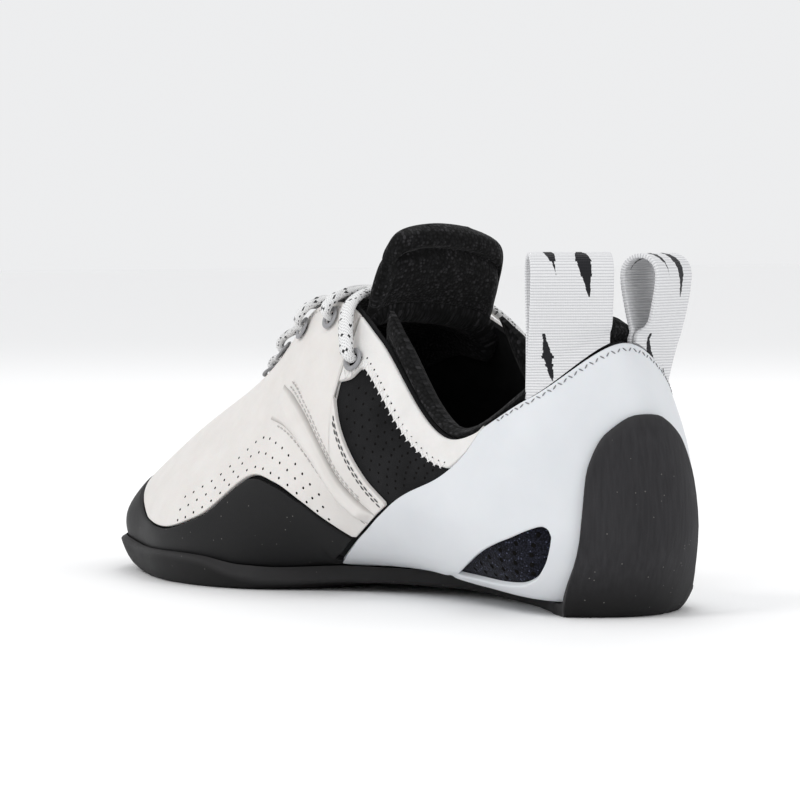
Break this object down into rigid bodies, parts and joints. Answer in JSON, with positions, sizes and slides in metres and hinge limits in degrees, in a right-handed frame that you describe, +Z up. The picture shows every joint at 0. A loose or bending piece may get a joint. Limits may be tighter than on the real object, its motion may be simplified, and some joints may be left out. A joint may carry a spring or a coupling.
{
  "type": "climbing shoe",
  "caption": "Low climbing shoe for the right foot: hollow lasted upper, thin rubber outsole with a heel patch, rands, padded tongue and collar, lace and two pull loops.",
  "frame": {"origin": "on the floor under the middle of the shoe's box", "axes": "+X to the toe, +Y to the medial side, +Z up"},
  "size_m": [0.2432, 0.1028, 0.1045],
  "materials": {
    "quarter_knit": "matte microfibre with pinholes",
    "insole_fabric": "flat weave",
    "white_rubber": "smooth, slightly glossy",
    "sole_rubber": "matte climbing rubber",
    "rand_rubber": "smooth black rubber",
    "vamp_synthetic": "warm white synthetic leather",
    "binding_synthetic": "white synthetic leather with pale stitching",
    "eyelet_ring": "matte ring",
    "padded_knit": "black spacer knit",
    "lace_braid": "braided, with dark flecks",
    "webbing": "ribbed webbing"
  },
  "bodies": {
    "root": {"upper": "quarter_knit", "insole": "insole_fabric", "heel_rand": "white_rubber", "outsole": "sole_rubber", "toe_rand": "rand_rubber", "vamp": "vamp_synthetic", "vamp_ridge_medial": "vamp_synthetic", "topline_binding_medial": "binding_synthetic", "vamp_ridge_lateral": "vamp_synthetic", "topline_binding_lateral": "binding_synthetic", "eyelet_medial_1": "eyelet_ring", "eyelet_medial_2": "eyelet_ring", "eyelet_medial_3": "eyelet_ring", "eyelet_medial_4": "eyelet_ring", "eyelet_medial_5": "eyelet_ring", "eyelet_lateral_1": "eyelet_ring", "eyelet_lateral_2": "eyelet_ring", "eyelet_lateral_3": "eyelet_ring", "eyelet_lateral_4": "eyelet_ring", "eyelet_lateral_5": "eyelet_ring", "collar_lining": "padded_knit", "tongue": "padded_knit", "lace": "lace_braid", "pull_loop_medial": "webbing", "pull_loop_lateral": "webbing"}
  },
  "joints": []
}
